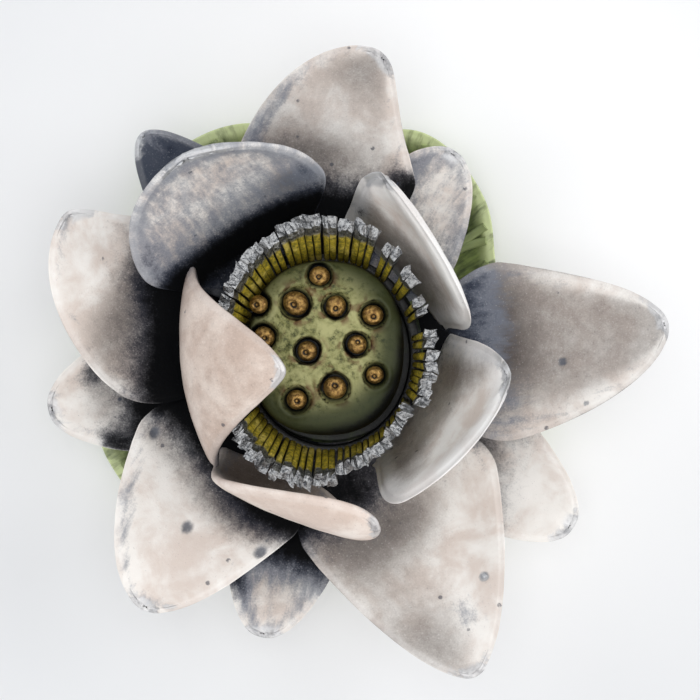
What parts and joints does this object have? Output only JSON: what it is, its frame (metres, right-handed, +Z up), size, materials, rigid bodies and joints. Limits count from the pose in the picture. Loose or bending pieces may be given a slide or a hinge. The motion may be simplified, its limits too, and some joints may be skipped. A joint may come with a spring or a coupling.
{
  "type": "lotus flower ornament",
  "caption": "Tabletop ornament shaped as an open lotus: thick cupped petals in whorls round a flat-topped seed pod and its ring of stamens, on a wavy leaf that is its foot.",
  "frame": {"origin": "middle of the round flat spot under the leaf that the ornament stands on, on the flower's axis", "axes": "+Z up through the flower's axis, +X towards petal_outer_1, +Y towards petal_outer_2"},
  "size_m": [0.1252, 0.1259, 0.0565],
  "materials": {
    "petals": "pearly pink-white paint over cast metal, dark patina in the roots, bare metal on the rims",
    "leaf": "brushed green paint over cast metal",
    "cup": "dark green patina",
    "pod": "mottled olive patina",
    "seeds": "aged brass, dark in the hollow",
    "stamens": "ochre paint with bare rough metal at the tips"
  },
  "bodies": {
    "root": {"petal_outer_1": "petals", "petal_outer_2": "petals", "petal_outer_3": "petals", "petal_outer_4": "petals", "petal_outer_5": "petals", "petal_back_1": "petals", "petal_back_2": "petals", "petal_back_3": "petals", "petal_back_4": "petals", "petal_back_5": "petals", "petal_inner_1": "petals", "petal_inner_2": "petals", "petal_inner_3": "petals", "petal_inner_4": "petals", "petal_inner_5": "petals", "leaf": "leaf", "cup": "cup", "seed_pod": "pod", "stamens": "stamens"}
  },
  "joints": []
}
